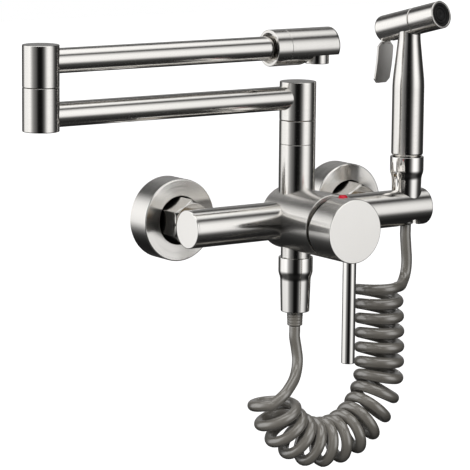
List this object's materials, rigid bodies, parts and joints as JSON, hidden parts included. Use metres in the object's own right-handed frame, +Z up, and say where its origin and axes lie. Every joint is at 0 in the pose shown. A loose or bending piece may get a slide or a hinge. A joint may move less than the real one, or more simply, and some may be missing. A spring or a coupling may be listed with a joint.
{
  "type": "wall-mounted pot filler mixer tap with hand sprayer",
  "caption": "Wall-mounted lever mixer tap with a folding two-tube pot-filler arm above its cross bar and a trigger hand sprayer in a cradle on a curly hose.",
  "frame": {"origin": "midway between the two wall inlets, on the wall's surface, level with the cross bar's axis", "axes": "+X to the right along the cross bar as seen by someone facing the tap, +Y into the wall, +Z up"},
  "size_m": [0.3395, 0.1397, 0.34],
  "materials": {
    "brushed_steel": "brushed",
    "chrome": "polished",
    "brass": "machined",
    "black_plastic": "matte",
    "rubber": "matte",
    "white_plastic": "matte",
    "grey_hose": "gloss",
    "red_plug": "gloss"
  },
  "bodies": {
    "root": {"wall_unions": "brass", "wall_flanges": "brushed_steel", "union_washers": "rubber", "union_nuts": "chrome", "inlet_tails": "brass", "mixer_body": "brushed_steel", "bar_end_plug": "brushed_steel", "column_collar": "brushed_steel", "swivel_glide_ring": "white_plastic", "cartridge": "white_plastic", "cartridge_nut": "brass", "outlet_nut": "chrome", "outlet_washer": "rubber", "outlet_ferrule": "grey_hose", "curly_hose": "grey_hose"},
    "lower_arm": {"swivel_tube": "brass", "swivel_o_rings": "rubber", "arm_socket": "brushed_steel", "lower_arm_tube": "brushed_steel", "lower_knuckle": "brushed_steel", "knuckle_plug": "brushed_steel", "knuckle_glide_ring": "white_plastic"},
    "upper_arm": {"knuckle_pivot": "brass", "knuckle_o_rings": "rubber", "knuckle_clip": "chrome", "upper_knuckle": "brushed_steel", "upper_arm_tube": "brushed_steel", "spout_spigot": "brass", "spout_o_rings": "rubber"},
    "spout": {"spout_sleeve": "brushed_steel", "spout_head": "brushed_steel", "aerator_housing": "brushed_steel", "aerator_insert": "white_plastic"},
    "spindle": {"cartridge_rotor": "black_plastic", "tilt_pin": "chrome"},
    "handle": {"cartridge_stem": "brass", "handle_cap": "brushed_steel", "handle_screw": "black_plastic", "index_plug": "red_plug", "lever_rod": "chrome"},
    "sprayer": {"spray_nut": "chrome", "spray_washer": "rubber", "spray_ferrule": "grey_hose", "spray_handle": "brushed_steel", "spray_head": "brushed_steel", "nozzle_sleeve": "brushed_steel", "nozzle_plate": "black_plastic", "trigger_spring": "chrome", "trigger_pin": "chrome"},
    "valve": {"valve_stem": "brass"},
    "trigger": {"trigger": "chrome"}
  },
  "joints": [
    {"name": "arm_swivel", "type": "hinge", "parent": "root", "child": "lower_arm", "pos_m": [0, -0.0565, 0.0713], "axis": [0, 0, 1], "range_deg": [0, 150]},
    {"name": "arm_fold", "type": "hinge", "parent": "lower_arm", "child": "upper_arm", "pos_m": [-0.212, -0.0565, 0.106], "axis": [0, 0, -1], "range_deg": [0, 180]},
    {"name": "head_turn", "type": "hinge", "parent": "upper_arm", "child": "spout", "pos_m": [0, -0.0565, 0.123], "axis": [1, 0, 0], "range_deg": [-60, 60]},
    {"name": "handle_turn", "type": "hinge", "parent": "root", "child": "spindle", "pos_m": [0, -0.0927, 0], "axis": [0, 1, 0], "range_deg": [-45, 45]},
    {"name": "handle_lift", "type": "hinge", "parent": "spindle", "child": "handle", "pos_m": [0, -0.0927, 0], "axis": [-1, 0, 0], "range_deg": [0, 18]},
    {"name": "sprayer_lift", "type": "slide", "parent": "root", "child": "sprayer", "axis": [0, 0, 1], "range_m": [0, 0.12], "deforming": ["curly_hose"]},
    {"name": "trigger_squeeze", "type": "hinge", "parent": "sprayer", "child": "trigger", "pos_m": [0.09695, -0.03483, 0.13015], "axis": [-0.9903, -0.1392, 0], "range_deg": [0, 12], "stiffness_Nm_per_rad": 0.3, "springref_deg": -20.05, "deforming": ["trigger_spring"]},
    {"name": "valve_push", "type": "slide", "parent": "sprayer", "child": "valve", "axis": [0.1325, -0.9429, 0.3057], "range_m": [0, 0.00138]}
  ],
  "couplings": [
    {"joint": "valve_push", "follows": "trigger_squeeze", "m_per_rad": 0.0065}
  ]
}
